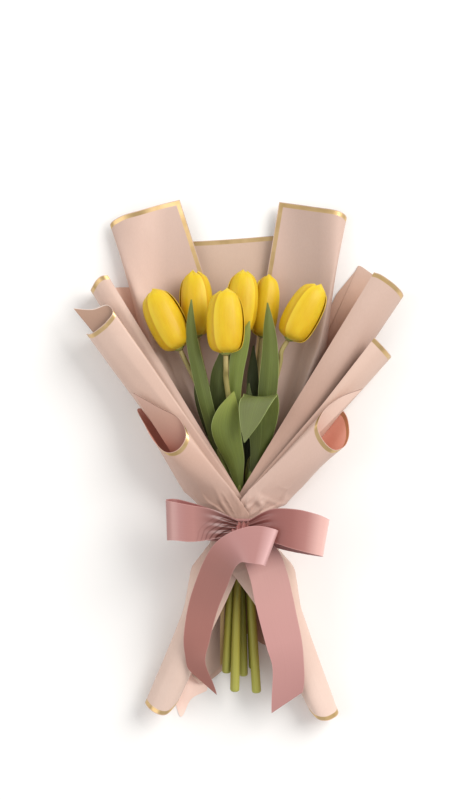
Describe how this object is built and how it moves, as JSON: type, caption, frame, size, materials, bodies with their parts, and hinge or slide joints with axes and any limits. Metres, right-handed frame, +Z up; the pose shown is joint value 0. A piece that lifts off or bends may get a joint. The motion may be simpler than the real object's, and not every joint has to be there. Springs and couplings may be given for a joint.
{
  "type": "bunch of tulips",
  "caption": "Bunch of yellow tulips with leafy stems, wrapped in gold-edged blush paper sheets and tied with a satin bow, lying on its back.",
  "frame": {"origin": "on the table, under the middle of the bunch's box", "axes": "+Y from the cut stems towards the flowers, +X to the right seen from above, +Z up from the table the bunch lies on"},
  "size_m": [0.3144, 0.5002, 0.0974],
  "materials": {
    "petal": "satin",
    "leafy_stem": "satin",
    "rubber_band": "matte",
    "wrapping_paper": "satin",
    "satin_ribbon": "satin"
  },
  "bodies": {
    "root": {"tulip_1_bloom": "petal", "tulip_2_bloom": "petal", "tulip_3_bloom": "petal", "tulip_4_bloom": "petal", "tulip_5_bloom": "petal", "tulip_6_bloom": "petal", "tulip_1_leafy_stem": "leafy_stem", "tulip_2_leafy_stem": "leafy_stem", "tulip_3_leafy_stem": "leafy_stem", "tulip_4_leafy_stem": "leafy_stem", "tulip_5_leafy_stem": "leafy_stem", "tulip_6_leafy_stem": "leafy_stem", "stem_tie": "rubber_band", "back_sheet": "wrapping_paper", "left_outer_sheet": "wrapping_paper", "right_outer_sheet": "wrapping_paper", "left_middle_sheet": "wrapping_paper", "right_middle_sheet": "wrapping_paper", "left_front_sheet": "wrapping_paper", "right_front_sheet": "wrapping_paper", "ribbon": "satin_ribbon"}
  },
  "joints": []
}
